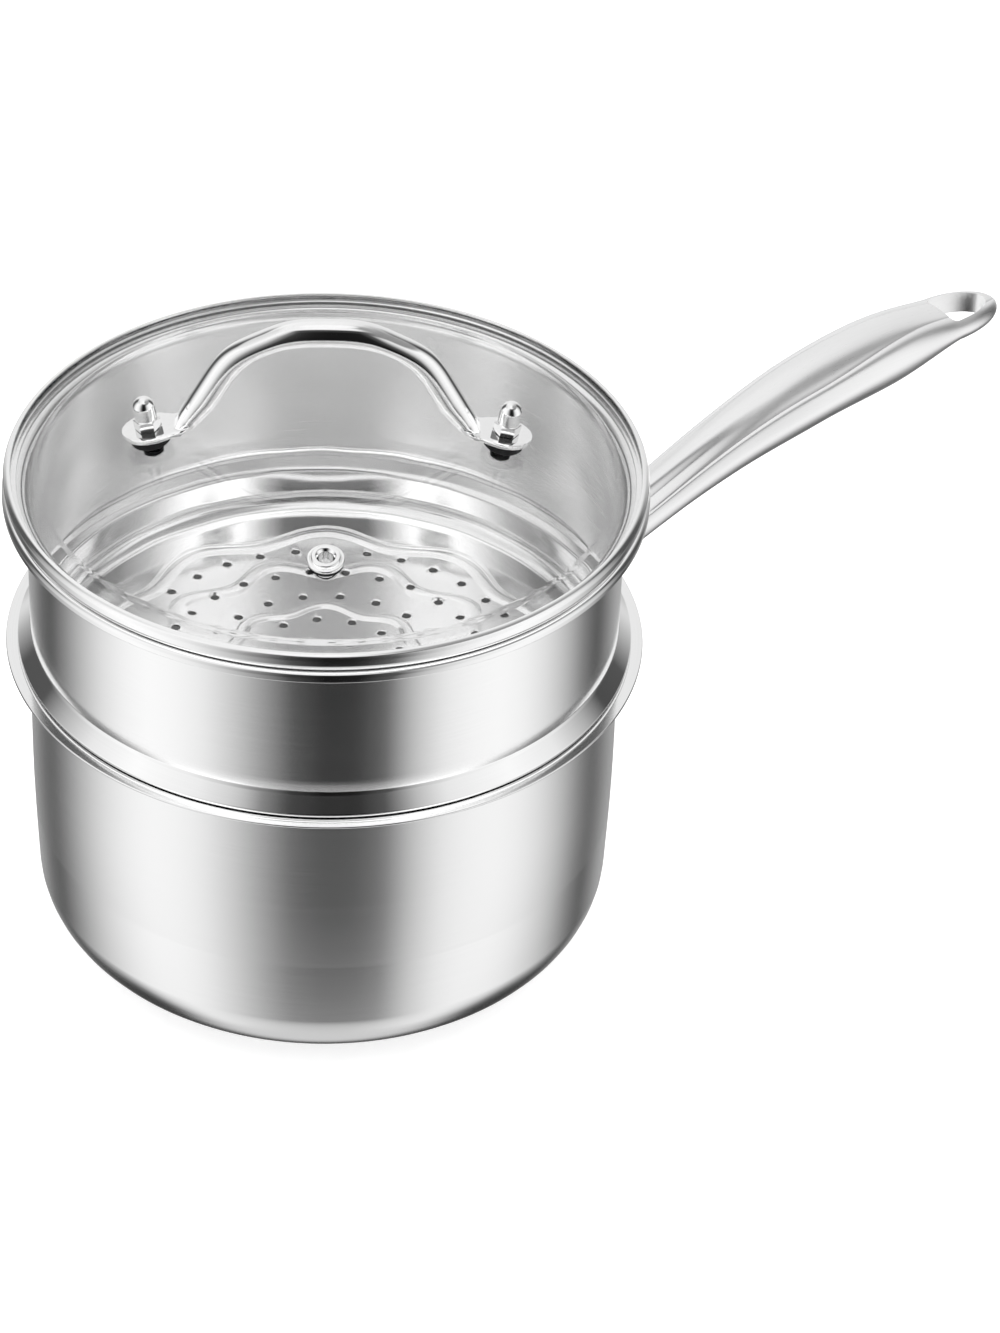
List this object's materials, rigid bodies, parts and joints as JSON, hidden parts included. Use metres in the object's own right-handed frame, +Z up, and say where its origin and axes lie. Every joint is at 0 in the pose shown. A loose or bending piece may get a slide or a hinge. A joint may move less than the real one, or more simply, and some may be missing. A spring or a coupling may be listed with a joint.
{
  "type": "saucepan with steamer insert",
  "caption": "Stainless saucepan with a long hollow handle, a perforated steamer insert hung in its rim and a domed glass lid with a steel band, arched handle and steam vent.",
  "frame": {"origin": "on the pan's axis, on the underside of its base", "axes": "+Z up along the pan's axis, +X from the axis along the long handle"},
  "size_m": [0.4079, 0.2176, 0.2446],
  "materials": {
    "pan_steel": "satin, brushed round the wall",
    "insert_steel": "satin, brushed round the wall",
    "handle_steel": "satin, brushed along the handle",
    "band_steel": "polished",
    "polished_steel": "mirror polished",
    "core_aluminium": "plain rolled",
    "clear_glass": "clear, polished",
    "dark_silicone": "matte"
  },
  "bodies": {
    "saucepan": {"saucepan_shell": "pan_steel", "base_core": "core_aluminium", "base_cap": "pan_steel", "handle_flange": "handle_steel", "handle_rivet_left": "polished_steel", "handle_rivet_right": "polished_steel", "pan_handle": "handle_steel"},
    "steamer": {"steamer_insert": "insert_steel"},
    "lid": {"lid_glass": "clear_glass", "lid_band": "band_steel", "lid_handle": "polished_steel", "lid_pad_upper_right": "dark_silicone", "lid_pad_lower_right": "dark_silicone", "lid_screw_right": "polished_steel", "lid_cap_nut_right": "polished_steel", "lid_pad_upper_left": "dark_silicone", "lid_pad_lower_left": "dark_silicone", "lid_screw_left": "polished_steel", "lid_cap_nut_left": "polished_steel", "vent_eyelet": "polished_steel", "vent_seal": "dark_silicone"}
  },
  "joints": [
    {"name": "steamer_lift", "type": "slide", "parent": "saucepan", "child": "steamer", "axis": [0, 0, 1], "range_m": [0, 0.1]},
    {"name": "lid_lift", "type": "slide", "parent": "steamer", "child": "lid", "axis": [0, 0, 1], "range_m": [0, 0.1]}
  ]
}
